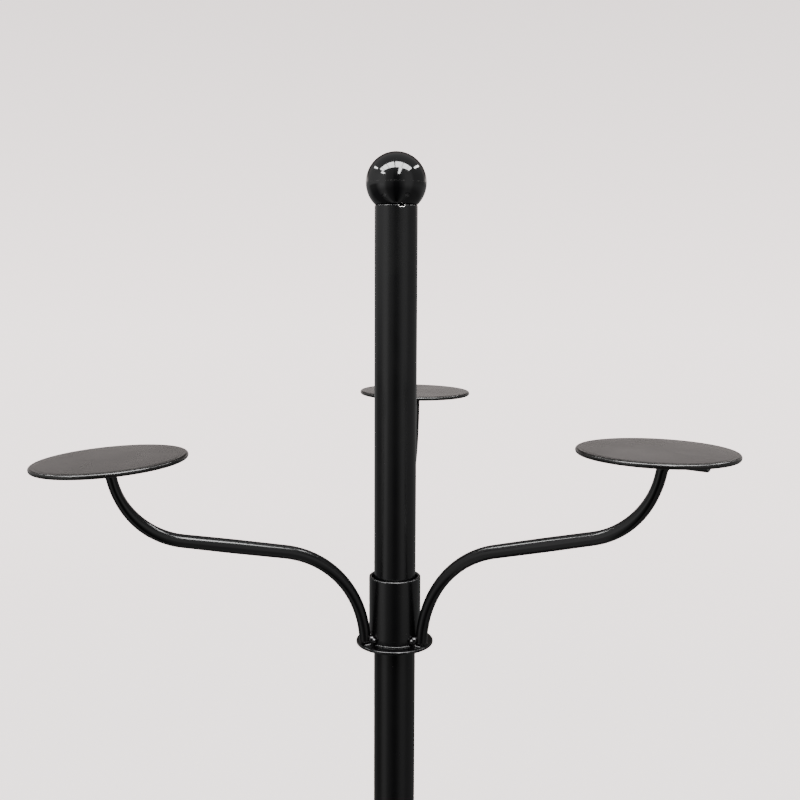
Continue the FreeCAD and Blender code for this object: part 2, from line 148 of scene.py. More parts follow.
def powderCoat(name, look):
    # Black polyester powder, sprayed dry and baked on steel: it flows out to a skin with a fine
    # orange peel, semi-gloss, with a little dust lying on it and soft handling marks.
    material, tree = newMaterial(name)
    coords = addNode(tree, "ShaderNodeTexCoord")
    place = coords.outputs["Object"]
    peel = addNode(tree, "ShaderNodeTexNoise", {"Scale": perMetre(look["peelMm"]), "Detail": 2.0,
                   "Roughness": 0.45}, {"Vector": place})
    grit = addNode(tree, "ShaderNodeTexNoise", {"Scale": perMetre(look["gritMm"]), "Detail": 3.0},
                   {"Vector": place})
    marks = addNode(tree, "ShaderNodeTexNoise", {"Scale": perMetre(look["marksMm"]), "Detail": 4.0,
                    "Distortion": 0.6}, {"Vector": place})
    shine = addNode(tree, "ShaderNodeMapRange", {"From Min": 0.3, "From Max": 0.7,
                    "To Min": look["roughness"] - look["shineChange"],
                    "To Max": look["roughness"] + look["shineChange"]}, {"Value": marks.outputs["Fac"]})
    speck = addNode(tree, "ShaderNodeTexVoronoi", {"Scale": perMetre(look["dustSpacingMm"]),
                    "Randomness": 1.0}, {"Vector": place})
    speckMask = addNode(tree, "ShaderNodeMapRange", {"From Min": look["dustSize"], "From Max": 0.0},
                        {"Value": speck.outputs["Distance"]})
    tint = mixColours(tree, grit.outputs["Fac"], look["colour"], look["paler"])
    dusty = mixColours(tree, speckMask.outputs["Result"], look["colour"], look["dust"])
    tree.links.new(tint.outputs[2], dusty.inputs[6])
    peelBump = addNode(tree, "ShaderNodeBump", {"Strength": look["peelStrength"],
                       "Distance": look["peelDepthMm"] * mm}, {"Height": peel.outputs["Fac"]})
    gritBump = addNode(tree, "ShaderNodeBump", {"Strength": look["gritStrength"],
                       "Distance": look["gritDepthMm"] * mm},
                       {"Height": grit.outputs["Fac"], "Normal": peelBump.outputs["Normal"]})
    skin = addNode(tree, "ShaderNodeBsdfPrincipled", {"IOR": 1.5},
                   {"Base Color": dusty.outputs[2], "Roughness": shine.outputs["Result"],
                    "Normal": gritBump.outputs["Normal"]})
    addNode(tree, "ShaderNodeOutputMaterial", links={"Surface": skin.outputs["BSDF"]})
    return material


coatBase = {
    "colour": "#0b0b0c", "paler": "#121213", "roughness": 0.24, "shineChange": 0.04,
    "peelMm": 2.2, "peelStrength": 0.35, "peelDepthMm": 0.02,
    "gritMm": 0.5, "gritStrength": 0.15, "gritDepthMm": 0.01,
    "marksMm": 45.0, "dust": "#8d8880", "dustSpacingMm": 14.0, "dustSize": 0.022,
}
tubeCoat = powderCoat("powderCoatedTube", coatBase)
rodCoat = powderCoat("powderCoatedRod", {**coatBase, "roughness": 0.17, "peelMm": 1.8, "peelStrength": 0.2})
plateCoat = powderCoat("powderCoatedPlate", {
    **coatBase, "colour": "#131211", "paler": "#1d1b1a", "roughness": 0.26, "shineChange": 0.015,
    "gritMm": 0.7, "gritStrength": 0.34, "gritDepthMm": 0.03, "dustSpacingMm": 9.0, "dustSize": 0.035})
weldCoat = powderCoat("powderCoatedWeld", {
    **coatBase, "roughness": 0.12, "shineChange": 0.03, "peelMm": 1.2, "dustSize": 0.0})


def plasticBall(look):
    # Black phenolic or ABS ball, moulded in two half cavities and tumbled: a near-mirror gloss,
    # with a dull line where the halves met, faint swirl marks and pale specks on that line that are painted
    # glints.
    material, tree = newMaterial("mouldedBallPlastic")
    coords = addNode(tree, "ShaderNodeTexCoord")
    centred = addNode(tree, "ShaderNodeMapping", {"Location": (0, 0, -look["centre"])},
                      {"Vector": coords.outputs["Object"]})
    place = centred.outputs["Vector"]
    parts = addNode(tree, "ShaderNodeSeparateXYZ", links={"Vector": place})
    offset = addNode(tree, "ShaderNodeMath", {"operation": "ABSOLUTE"}, {0: parts.outputs["Z"]})
    line = addNode(tree, "ShaderNodeMapRange", {"From Min": look["lineMm"] * mm, "From Max": 0.0},
                   {"Value": offset.outputs["Value"]})
    # pale specks along the seam: painted glints where the line catches the light
    glintSpots = addNode(tree, "ShaderNodeTexNoise", {"Scale": perMetre(look["seamGlintMm"]), "Detail": 3.0},
                    {"Vector": place})
    broken = addNode(tree, "ShaderNodeMapRange", {"From Min": look["seamGlintFrom"],
                     "From Max": look["seamGlintFull"]}, {"Value": glintSpots.outputs["Fac"]})
    seamGlint = addNode(tree, "ShaderNodeMath", {"operation": "MULTIPLY"},
                    {0: line.outputs["Result"], 1: broken.outputs["Result"]})
    swirl = addNode(tree, "ShaderNodeTexNoise", {"Scale": perMetre(look["swirlMm"]), "Detail": 5.0,
                    "Distortion": 1.5}, {"Vector": place})
    shine = addNode(tree, "ShaderNodeMapRange", {"From Min": 0.35, "From Max": 0.7,
                    "To Min": look["roughness"], "To Max": look["dullest"]},
                    {"Value": swirl.outputs["Fac"]})
    dulled = addNode(tree, "ShaderNodeMath", {"operation": "MULTIPLY_ADD", 1: look["lineDullness"]},
                     {0: line.outputs["Result"], 2: shine.outputs["Result"]})
    tint = mixColours(tree, seamGlint.outputs["Value"], look["colour"], look["seamGlint"])
    bump = addNode(tree, "ShaderNodeBump", {"Strength": 0.08, "Distance": look["swirlDepthMm"] * mm},
                   {"Height": swirl.outputs["Fac"]})
    skin = addNode(tree, "ShaderNodeBsdfPrincipled", {"IOR": 1.57},
                   {"Base Color": tint.outputs[2], "Roughness": dulled.outputs["Value"],
                    "Normal": bump.outputs["Normal"]})
    addNode(tree, "ShaderNodeOutputMaterial", links={"Surface": skin.outputs["BSDF"]})
    return material


ballRadius = radiusOf("finial_ball")
ballCentre = high("finial_ball").z - ballRadius
ballPlastic = plasticBall({
    "centre": ballCentre, "colour": "#0a0a0c", "roughness": 0.045, "dullest": 0.099,
    "swirlMm": 12.0, "swirlDepthMm": 0.05, "lineMm": 0.45, "lineDullness": 0.25,
    # the pale seam specks are painted glints
    "seamGlint": "#5c5a57", "seamGlintMm": 2.5, "seamGlintFrom": 0.56, "seamGlintFull": 0.66,
})


metalGrain = {"stretch": (0.15, 0.15, 1.0), "glossier": 0.06, "duller": 0.08, "bump": 0.3, "depthMm": 0.01}


def metal(name, look):
    # A bare metal part: fine machining lines run round it and its gloss drifts with handling.
    material, tree = newMaterial(name)
    coords = addNode(tree, "ShaderNodeTexCoord")
    stretched = addNode(tree, "ShaderNodeMapping", {"Scale": metalGrain["stretch"]},
                        {"Vector": coords.outputs["Object"]})
    lines = addNode(tree, "ShaderNodeTexNoise", {"Scale": perMetre(look["lineMm"]), "Detail": 3.0},
                    {"Vector": stretched.outputs["Vector"]})
    shine = addNode(tree, "ShaderNodeMapRange", {"From Min": 0.3, "From Max": 0.7,
                    "To Min": look["roughness"] - metalGrain["glossier"],
                    "To Max": look["roughness"] + metalGrain["duller"]},
                    {"Value": lines.outputs["Fac"]})
    tint = mixColours(tree, lines.outputs["Fac"], look["colour"], look["paler"])
    bump = addNode(tree, "ShaderNodeBump", {"Strength": metalGrain["bump"],
                   "Distance": metalGrain["depthMm"] * mm},
                   {"Height": lines.outputs["Fac"]})
    skin = addNode(tree, "ShaderNodeBsdfPrincipled", {"Metallic": 1.0},
                   {"Base Color": tint.outputs[2], "Roughness": shine.outputs["Result"],
                    "Normal": bump.outputs["Normal"]})
    addNode(tree, "ShaderNodeOutputMaterial", links={"Surface": skin.outputs["BSDF"]})
    return material


zincSteel = metal("zincPlatedSteel", {
    "colour": "#a9abae", "paler": "#c9cacb", "roughness": 0.3, "lineMm": 0.4})
turnedSteel = metal("turnedMildSteel", {
    "colour": "#77767a", "paler": "#96959a", "roughness": 0.38, "lineMm": 0.3})
# near-white metal for the notch lip: a painted highlight, not bare steel showing through the coat
notchHighlightSteel = metal("paleSteelForNotchHighlight", {
    "colour": "#e4e1dc", "paler": "#f4f2ee", "roughness": 0.5, "lineMm": 0.5})
turnedBrass = metal("turnedBrass", {
    "colour": "#b08a4a", "paler": "#cfae6b", "roughness": 0.28, "lineMm": 0.3})


def softMoulding(name, look):
    # A moulded soft part, rubber or nylon: matt, with a fine texture from the mould's wall.
    material, tree = newMaterial(name)
    coords = addNode(tree, "ShaderNodeTexCoord")
    grain = addNode(tree, "ShaderNodeTexNoise", {"Scale": perMetre(look["grainMm"]), "Detail": 3.0},
                    {"Vector": coords.outputs["Object"]})
    tint = mixColours(tree, grain.outputs["Fac"], look["colour"], look["paler"])
    bump = addNode(tree, "ShaderNodeBump", {"Strength": look["bump"], "Distance": look["depthMm"] * mm},
                   {"Height": grain.outputs["Fac"]})
    skin = addNode(tree, "ShaderNodeBsdfPrincipled", {"Roughness": look["roughness"], "IOR": look["ior"]},
                   {"Base Color": tint.outputs[2], "Normal": bump.outputs["Normal"]})
    addNode(tree, "ShaderNodeOutputMaterial", links={"Surface": skin.outputs["BSDF"]})
    return material


mouldBase = {"bump": 0.4, "depthMm": 0.04}
footRubber = softMoulding("mouldedRubber", {
    **mouldBase, "colour": "#171717", "paler": "#242423", "roughness": 0.75, "ior": 1.52, "grainMm": 0.6})
washerNylon = softMoulding("mouldedNylon", {
    **mouldBase, "colour": "#cfcabd", "paler": "#e0dccf", "roughness": 0.45, "ior": 1.53, "grainMm": 0.8})
print("materials made")


# Mesh helpers

sharpTurn = math.radians(35)


def spun(outline, steps, closed=True):
    # an outline of (radius, height) points, in mm, turned round the Z axis
    bm = bmesh.new()
    corners = [bm.verts.new((radius * mm, 0, height * mm)) for radius, height in outline]
    for first, second in zip(corners, corners[1:]):
        bm.edges.new((first, second))
    if closed:
        bm.edges.new((corners[-1], corners[0]))
    bmesh.ops.spin(bm, geom=bm.verts[:] + bm.edges[:], cent=(0, 0, 0), axis=upAxis,
                   angle=2 * math.pi, steps=steps, use_merge=True)
    bmesh.ops.remove_doubles(bm, verts=bm.verts, dist=0.001 * mm)
    bmesh.ops.recalc_face_normals(bm, faces=bm.faces)
    return bm


def ease(bm, widthMm, segments=3, wanted=None):
    # rounds the sharp edges, or the ones that the test picks among them
    sharp = [edge for edge in bm.edges if edge.calc_face_angle(0) > sharpTurn]
    if wanted:
        sharp = [edge for edge in sharp if wanted(edge)]
    bmesh.ops.bevel(bm, geom=sharp, offset=widthMm * mm, offset_type="OFFSET", segments=segments,
                    profile=0.5, affect="EDGES", material=-1, clamp_overlap=True)


def sweptRod(points, radiusMm, sides):
    # a round rod along points, closed at both ends
    bm = bmesh.new()
    last = len(points) - 1
    along = [(points[min(i + 1, last)] - points[max(i - 1, 0)]).normalized() for i in range(last + 1)]
    start = Matrix.Translation(points[0]) @ upAxis.rotation_difference(along[0]).to_matrix().to_4x4()
    bmesh.ops.create_circle(bm, cap_ends=True, segments=sides, radius=radiusMm * mm, matrix=start)
    loop = bm.edges[:]
    for i in range(1, last + 1):
        turn = along[i - 1].rotation_difference(along[i]).to_matrix().to_4x4()
        step = Matrix.Translation(points[i]) @ turn @ Matrix.Translation(-points[i - 1])
        grown = bmesh.ops.extrude_edge_only(bm, edges=loop)["geom"]
        ring = {item for item in grown if isinstance(item, bmesh.types.BMVert)}
        loop = [item for item in grown if isinstance(item, bmesh.types.BMEdge)
                and ring.issuperset(item.verts)]
        bmesh.ops.transform(bm, matrix=step, verts=list(ring))
    bmesh.ops.contextual_create(bm, geom=loop)
    bmesh.ops.recalc_face_normals(bm, faces=bm.faces)
    return bm


def addPiece(bm, name, body, material, nodes, weighted=True):
    mesh = bpy.data.meshes.new(name)
    bm.to_mesh(mesh)
    bm.free()
    mesh.shade_smooth()
    mesh.materials.append(material)
    piece = bpy.data.objects.new(name, mesh)
    bpy.context.scene.collection.objects.link(piece)
    if weighted:
        normals = piece.modifiers.new("weightedNormals", "WEIGHTED_NORMAL")
        normals.keep_sharp = True
    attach(piece, body)
    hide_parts(*nodes)
    return piece


def lift(bm, height):
    bmesh.ops.translate(bm, verts=bm.verts, vec=(0, 0, height))


def weldBead(name, blobs, voxelMm, body, nodes):
    # overlapping blobs of (place, radius in mm), fused into one rippled bead
    bm = bmesh.new()
    for spot, radius in blobs:
        bmesh.ops.create_icosphere(bm, subdivisions=2, radius=radius * mm, matrix=Matrix.Translation(spot))
    piece = addPiece(bm, name, body, weldCoat, nodes, weighted=False)
    fuse = piece.modifiers.new("fuse", "REMESH")
    fuse.mode = "VOXEL"
    fuse.voxel_size = voxelMm * mm
    fuse.use_smooth_shade = True
    soften = piece.modifiers.new("soften", "SMOOTH")
    soften.factor = 0.5
    soften.iterations = 3
    return piece


# Pole

poleShape = {
    "wall": 1.5, "steps": 256, "edge": 0.25, "rimEdge": 1.1,
    "notchWidth": 5.8, "notchDepth": 2.5, "notchCorner": 1.2, "notchAzimuth": -75.0,
    "notchBlend": 9.0, "blendRows": 6, "lip": 0.65, "lipSides": 10, "lipSteps": 6,
}
poleRadius = radiusOf("lower_pole") / mm
slack = 0.1    # mm that a corner may be off when edges are picked by where they are


def notchDip(azimuth, shape):
    # how far the top edge drops at this angle round the pole, in mm
    away = (azimuth - math.radians(shape["notchAzimuth"]) + math.pi) % (2 * math.pi) - math.pi
    across = abs(away * poleRadius)
    past = across - (shape["notchWidth"] / 2 - shape["notchCorner"])
    if past >= shape["notchCorner"]:
        return 0
    rise = shape["notchCorner"] - math.sqrt(shape["notchCorner"] ** 2 - max(past, 0) ** 2)
    return shape["notchDepth"] - rise


def addTube(name, node, shape, notched):
    bottom, top = low(node).z / mm, high(node).z / mm
    blendFrom = top - shape["notchBlend"]
    inner = poleRadius - shape["wall"]
    rows = shape["blendRows"]
    heights = [blendFrom + shape["notchBlend"] * i / rows for i in range(rows + 1)]
    outline = [(inner, bottom), (poleRadius, bottom)]
    outline += [(poleRadius, height) for height in heights]
    outline += [(inner, height) for height in reversed(heights)]
    bm = spun(outline, shape["steps"])
    if notched:
        for vert in bm.verts:
            share = (vert.co.z / mm - blendFrom) / shape["notchBlend"]
            if share > 0:
                vert.co.z -= share * notchDip(math.atan2(vert.co.y, vert.co.x), shape) * mm
        ease(bm, shape["rimEdge"], 4, lambda edge: all(
            v.co.z / mm > top - slack and v.co.xy.length / mm > poleRadius - slack for v in edge.verts))
    ease(bm, shape["edge"], 2)
    return addPiece(bm, name, "stand", tubeCoat, [node])


addTube("upperPoleTube", "upper_pole", poleShape, True)
addTube("lowerPoleTube", "lower_pole", poleShape, False)


def addNotchLip(shape):
    # a rounded lip round the notch in pale bright metal, a painted highlight standing in for the light that
    # the coated edge catches
    half, corner, depth = shape["notchWidth"] / 2, shape["notchCorner"], shape["notchDepth"]
    top = high("upper_pole").z / mm
    middle = math.radians(shape["notchAzimuth"])
    reach = poleRadius - shape["lip"]
    side = [(half, shape["lip"] * 0.7), (half, shape["lip"])]
    for i in range(shape["lipSteps"] + 1):
        turn = math.pi / 2 * i / shape["lipSteps"]
        side.append((half - corner + corner * math.cos(turn), depth - corner + corner * math.sin(turn)))
    points = []
    for across, dip in [(-across, dip) for across, dip in side] + side[::-1]:
        angle = middle + across / poleRadius
        points.append(Vector((reach * math.cos(angle), reach * math.sin(angle), top - dip)) * mm)
    lip = sweptRod(points, shape["lip"], shape["lipSides"])
    return addPiece(lip, "notchLip", "stand", notchHighlightSteel, [])


addNotchLip(poleShape)
print("pole made")


# Ball on top

ballShape = {"steps": 160, "rings": 96, "seamMm": 0.06, "seamHalfWidthMm": 0.5, "boreMm": 6.0,
             "boreDepthMm": 2.0, "edge": 1.0}


def addBall(shape):
    # the seam takes its height off the radius, so the ball stays inside its node
    radius = ballRadius / mm - shape["seamMm"]
    flat = (low("finial_ball").z - ballCentre) / mm
    start = math.asin(flat / radius)
    boreTop = flat + shape["boreDepthMm"]
    outline = [(0.0, boreTop), (shape["boreMm"], boreTop), (shape["boreMm"], flat)]
    for i in range(shape["rings"] + 1):
        angle = start + (math.pi / 2 - start) * i / shape["rings"]
        height = radius * math.sin(angle)
        seam = shape["seamMm"] * max(0.0, 1 - abs(height) / shape["seamHalfWidthMm"])
        outline.append(((radius + seam) * math.cos(angle) if i < shape["rings"] else 0.0, height))
    bm = spun(outline, shape["steps"], closed=False)
    ease(bm, shape["edge"], 2)
    lift(bm, ballCentre)
    return addPiece(bm, "finialBall", "stand", ballPlastic, ["finial_ball"], weighted=False)


addBall(ballShape)
print("ball made")


# Hub of the tier

hubShape = {"sleeveInner": 21.0, "sleeveEdge": 1.15, "flangeEdge": 1.15, "steps": 160, "bore": 19.3,
            "stopEdge": 0.5, "washerEdge": 0.3}


def addRing(name, node, inner, edge, body, material, steps=128):
    # a plain ring or collar with the size of its node
    outer = (high(node).x - low(node).x) / 2 / mm
    height = (high(node).z - low(node).z) / mm
    bm = spun([(inner, 0), (outer, 0), (outer, height), (inner, height)], steps)
    ease(bm, edge, 4)
    lift(bm, low(node).z)
    return addPiece(bm, name, body, material, [node])


addRing("hubSleeve", "hub_sleeve", hubShape["sleeveInner"], hubShape["sleeveEdge"], "tier",
        tubeCoat, hubShape["steps"])
addRing("hubFlange", "hub_flange", hubShape["bore"], hubShape["flangeEdge"], "tier",
        rodCoat, hubShape["steps"])
addRing("stopRing", "stop_ring", poleRadius, hubShape["stopEdge"], "stand", tubeCoat)
addRing("slideWasher", "slide_washer", hubShape["bore"], hubShape["washerEdge"], "stand",
        washerNylon)
print("hub made")


# Arms

armShape = {
    "radius": 5.5, "seat": 1.5, "seatReach": 60.0, "footReach": 30.0, "reach": 288.0,
    "endBend": 10.0, "endEdge": 1.0, "endAbove": 100.0, "sides": 40,
    "bendSteps": (28, 24, 14), "runSteps": 12,
    # bending has flattened the bar: how tall it is along its route, as (share, ratio)
    "swell": [(0.0, 0.94), (0.18, 0.98), (0.36, 1.09), (0.52, 1.11), (0.62, 1.05), (0.74, 0.98),
              (0.84, 0.8), (1.0, 0.8)],
    "left": {"azimuth": 206.3, "bend": 97.8, "slope": 12.56, "run": 91.0, "riseBend": 74.4,
             "riseAngle": 78.2, "droop": 3.5, "tilt": 1.1, "plateReach": 252.9},
    "right": {"azimuth": -36.2, "bend": 104.3, "slope": 15.97, "run": 94.5, "riseBend": 77.5,
              "riseAngle": 80.0, "droop": 0.3, "tilt": -0.9, "plateReach": 247.3},
    "back": {"azimuth": 85.0, "bend": 103.0, "slope": 15.7, "run": 94.0, "riseBend": 76.3,
             "riseAngle": 80.0, "droop": 0.0, "tilt": 0.6, "plateReach": 251.6},
}
sideNames = ("left", "right", "back")
flangeTop = high("hub_flange").z


def armRoute(side):
    # (outward, up) points of the rod's centre line in mm, counted from the flange's top
    arm = armShape[side]
    heading = math.pi / 2
    slope, rise = math.radians(arm["slope"]), math.radians(arm["riseAngle"])
    droop = math.radians(arm["droop"])
    spot = Vector((armShape["footReach"], 0))
    points = [spot.copy()]
    bends = [(arm["bend"], slope), (arm["riseBend"], rise), (armShape["endBend"], -droop)]
    for index, (radius, target) in enumerate(bends):
        steps = armShape["bendSteps"][index]
        turn = (target - heading) / steps
        for _ in range(steps):
            chord = 2 * radius * math.sin(abs(turn) / 2)
            direction = heading + turn / 2
            spot = spot + Vector((math.cos(direction), math.sin(direction))) * chord
            points.append(spot.copy())
            heading += turn
        if index == 0:
            for _ in range(armShape["runSteps"]):
                spot = spot + Vector((math.cos(slope), math.sin(slope))) * arm["run"] / armShape["runSteps"]
                points.append(spot.copy())
    tail = (armShape["reach"] - spot.x) / math.cos(droop)
    spot = spot + Vector((math.cos(droop), -math.sin(droop))) * tail
    points.append(spot.copy())
    return points


def armFrame(side):
    return Matrix.Translation((0, 0, flangeTop)) @ Matrix.Rotation(
        math.radians(armShape[side]["azimuth"]), 4, "Z")


def plateFrame(side):
    # where the plate's underside sits in the flat on the rod's tail
    arm = armShape[side]
    droop = math.radians(arm["droop"])
    end = armRoute(side)[-1]
    height = end.y + (end.x - arm["plateReach"]) * math.tan(droop)
    lean = Matrix.Rotation(droop, 4, "Y") @ Matrix.Rotation(math.radians(arm["tilt"]), 4, "X")
    axisPoint = Vector((arm["plateReach"], 0, height)) * mm
    return (armFrame(side) @ Matrix.Translation(axisPoint) @ lean
            @ Matrix.Translation((0, 0, (armShape["radius"] - armShape["seat"]) * mm)))


def swellAt(share):
    for (before, least), (after, most) in zip(armShape["swell"], armShape["swell"][1:]):
        if share <= after:
            return least + (most - least) * (share - before) / (after - before)
    return 1.0


def addArm(side):
    route = [Vector((point.x, 0, point.y)) * mm for point in armRoute(side)]
    bm = sweptRod(route, armShape["radius"], armShape["sides"])
    lengths = [0.0]
    for first, second in zip(route, route[1:]):
        lengths.append(lengths[-1] + (second - first).length)
    bm.verts.ensure_lookup_table()
    for index, centre in enumerate(route):
        along = (route[min(index + 1, len(route) - 1)] - route[max(index - 1, 0)]).normalized()
        across = along.cross(Vector((0, 1, 0)))
        extra = swellAt(lengths[index] / lengths[-1]) - 1
        for vert in bm.verts[index * armShape["sides"]:(index + 1) * armShape["sides"]]:
            vert.co += across * (vert.co - centre).dot(across) * extra
    bmesh.ops.transform(bm, matrix=armFrame(side), verts=bm.verts)
    # the flat that the plate sits in
    seat = plateFrame(side)
    toSeat = seat.inverted()
    for vert in bm.verts:
        spot = toSeat @ vert.co
        if 0 < spot.z < 1.5 * armShape["seat"] * mm and spot.xy.length < armShape["seatReach"] * mm:
            spot.z = 0
            vert.co = seat @ spot
    ease(bm, armShape["endEdge"], 3, lambda edge: all(v.co.z > flangeTop + armShape["endAbove"] * mm
                                                  for v in edge.verts))
    return addPiece(bm, side + "Arm", "tier", rodCoat, ["arm_" + side])


plateShape = {"radius": 61.9, "thickness": 4.0, "edge": 1.8, "steps": 192, "flatInset": 8.0,
              "lineInset": 3.4, "lineHalfWidth": 0.45, "lineDepth": 0.12}


def addPlate(side, shape):
    radius, top = shape["radius"], shape["thickness"]
    line = radius - shape["lineInset"]
    outline = [(0, 0), (radius - shape["flatInset"], 0), (radius, 0), (radius, top),
               (line + shape["lineHalfWidth"], top), (line, top - shape["lineDepth"]),
               (line - shape["lineHalfWidth"], top), (line - 3, top), (0, top)]
    bm = spun(outline, shape["steps"], closed=False)
    ease(bm, shape["edge"], 5, lambda edge: all(v.co.xy.length > (radius - slack) * mm for v in edge.verts))
    bmesh.ops.transform(bm, matrix=plateFrame(side), verts=bm.verts)
    return addPiece(bm, side + "Plate", "tier", plateCoat, ["plate_" + side])


for side in sideNames:
    addArm(side)
    addPlate(side, plateShape)
print("arms and plates made")


# Welds

weldShape = {
    "seed": 7, "wander": 0.25, "armVoxel": 0.3, "beadVoxel": 0.35, "baseVoxel": 0.5,
    # lumps that climb the corner between the rod's foot and the sleeve
    "nookReach": 25.4, "nookAside": 4.7, "nookLift": 0.8, "nookRadius": 2.4, "nookSteps": 5,
    "crownHeight": 5.4, "crownRadius": 3.5, "shoulder": (-1.3, 2.4, -0.7), "shoulderRadius": 2.5,
    # the bead that tails off along the flange, and the one behind the rod
    "toeReach": 28.0, "toeAside": 5.8, "toeLift": 0.5, "toePitch": 1.5, "toeRadius": 1.5, "toeSteps": 4,
    "backReach": 24.6, "backLift": 1.0, "backPitch": 1.3, "backRadius": 1.7, "backSteps": 6,
    # round the sleeve
    "hubReach": 24.4, "hubLift": 0.2, "hubSpacing": 1.9, "hubBlob": 1.05, "armGap": 17,
    # under the plates
    "tailStart": 266.0, "tailAside": 5.0, "tailDrop": 1.2, "tailPitch": 1.7, "tailSteps": 11,
    "tailBlob": 1.3,
    # round the socket
    "baseOut": 0.9, "baseBlob": 2.3, "baseSpacing": 2.3,
}
chance = random.Random(weldShape["seed"])


def wander(size):
    return chance.uniform(-size, size)


def addArmWeld(side):
    # a lump on each side of the rod's foot, tapering up the corner between rod and sleeve
    shape = weldShape
    blobs = []
    for aside in (-1, 1):
        for i in range(shape["nookSteps"]):
            spot = Vector((shape["nookReach"] + wander(0.3), aside * shape["nookAside"],
                           shape["nookLift"] + i))
            blobs.append((armFrame(side) @ (spot * mm), shape["nookRadius"] + wander(shape["wander"])))
        crown = Vector((shape["nookReach"] + 0.3, aside * (shape["nookAside"] + 0.4), shape["crownHeight"]))
        blobs.append((armFrame(side) @ (crown * mm), shape["crownRadius"]))
        inward, outward, down = shape["shoulder"]
        shoulder = crown + Vector((inward, aside * outward, down + wander(0.4)))
        blobs.append((armFrame(side) @ (shoulder * mm), shape["shoulderRadius"]))
        for i in range(shape["toeSteps"]):
            reach = shape["toeReach"] + i * shape["toePitch"]
            spot = Vector((reach, aside * (shape["toeAside"] + wander(0.2)), shape["toeLift"]))
            blobs.append((armFrame(side) @ (spot * mm), shape["toeRadius"] - 0.15 * i))
    for i in range(shape["backSteps"]):
        spot = Vector((shape["backReach"], 0, shape["backLift"] + i * shape["backPitch"]))
        blobs.append((armFrame(side) @ (spot * mm), shape["backRadius"] - i * 0.08))
    return weldBead(side + "ArmWeld", blobs, shape["armVoxel"], "tier", ["arm_weld_" + side])


def ringBlobs(reach, height, spacing, radius, skip=None):
    count = round(2 * math.pi * reach / spacing)
    blobs = []
    for i in range(count):
        azimuth = 2 * math.pi * i / count
        if skip and skip(math.degrees(azimuth)):
            continue
        distance = reach + wander(weldShape["wander"] / 2)
        spot = Vector((distance * math.cos(azimuth), distance * math.sin(azimuth), height / mm)) * mm
        blobs.append((spot, radius + wander(weldShape["wander"] / 2)))
    return blobs


def nearArm(azimuth):
    # where the arms' own welds take over from the bead round the sleeve
    return any(abs((azimuth - armShape[side]["azimuth"] + 180) % 360 - 180) < weldShape["armGap"]
               for side in sideNames)


def addPlateWeld(side):
    shape = weldShape
    start = shape["tailStart"] - armShape[side]["plateReach"]
    blobs = []
    for aside in (-1, 1):
        for i in range(shape["tailSteps"]):
            spot = Vector((start + i * shape["tailPitch"], aside * shape["tailAside"],
                           wander(0.15) - shape["tailDrop"]))
            blobs.append((plateFrame(side) @ (spot * mm), shape["tailBlob"] + wander(shape["wander"] / 2)))
    return weldBead(side + "PlateWeld", blobs, shape["beadVoxel"], "tier", ["plate_weld_" + side])


for side in sideNames:
    addArmWeld(side)
    addPlateWeld(side)
socketRadius = radiusOf("base_socket") / mm
hubBlobs = ringBlobs(weldShape["hubReach"], flangeTop + weldShape["hubLift"] * mm, weldShape["hubSpacing"],
                     weldShape["hubBlob"], nearArm)
weldBead("hubWeld", hubBlobs, weldShape["beadVoxel"], "tier", ["hub_weld"])
baseBlobs = ringBlobs(socketRadius + weldShape["baseOut"], low("base_weld").z + weldShape["baseOut"] * mm,
                      weldShape["baseSpacing"], weldShape["baseBlob"])
weldBead("baseWeld", baseBlobs, weldShape["baseVoxel"], "stand", ["base_weld"])
print("welds made")


# Foot of the stand

footShape = {
    "edge": 1.9, "smallEdge": 0.3, "flatInset": 8.0, "topInset": 6.0, "boltHole": 5.25,
    "recess": 13.0, "recessDepth": 3.0, "steps": 256,
    "rubberCentre": 118.0, "rubberBottom": 13.0, "rubberTop": 14.5, "rubberWall": 1.5, "rubberEdge": 0.6,
    "rubberDish": 6.0, "dishDepth": 0.8, "dishSlope": 1.0, "rubberSteps": 64, "rubberCount": 4,
    "washerHole": 5.25, "washerEdge": 0.3, "socketEdge": 1.0,
    "headFlats": 17.0, "headHeight": 6.4, "headEdge": 0.5, "shank": 5.0, "shankTaper": 0.6, "shankSides": 48,
}


def addBasePlate(shape):
    radius = radiusOf("base_plate") / mm
    height = (high("base_plate").z - low("base_plate").z) / mm
    outline = [(shape["recess"], 0), (radius - shape["flatInset"], 0), (radius, 0), (radius, height),
               (radius - shape["topInset"], height), (shape["boltHole"], height),
               (shape["boltHole"], shape["recessDepth"]), (shape["recess"], shape["recessDepth"])]
    bm = spun(outline, shape["steps"])
    ease(bm, shape["edge"], 5, lambda edge: all(v.co.xy.length > (radius - 1) * mm and v.co.z > mm
                                                for v in edge.verts))
    ease(bm, shape["smallEdge"], 2)
    lift(bm, low("base_plate").z)
    return addPiece(bm, "basePlate", "stand", plateCoat, ["base_plate"])


def addRubberFeet(shape):
    # glued domed feet with a dished underside
    joined = bmesh.new()
    height = high("rubber_feet").z / mm
    outline = [(0, shape["dishDepth"]), (shape["rubberDish"], shape["dishDepth"]),
               (shape["rubberDish"] + shape["dishSlope"], 0), (shape["rubberBottom"], 0),
               (shape["rubberTop"], height - shape["rubberWall"]), (shape["rubberTop"], height), (0, height)]
    for i in range(shape["rubberCount"]):
        bm = spun(outline, shape["rubberSteps"], closed=False)
        ease(bm, shape["rubberEdge"], 3)
        angle = math.radians(45 + 360 * i / shape["rubberCount"])
        bmesh.ops.translate(bm, verts=bm.verts,
                            vec=Vector((math.cos(angle), math.sin(angle), 0)) * shape["rubberCentre"] * mm)
        part = bpy.data.meshes.new("rubberFoot")
        bm.to_mesh(part)
        bm.free()
        joined.from_mesh(part)
        bpy.data.meshes.remove(part)
    return addPiece(joined, "rubberFeet", "stand", footRubber, ["rubber_feet"])


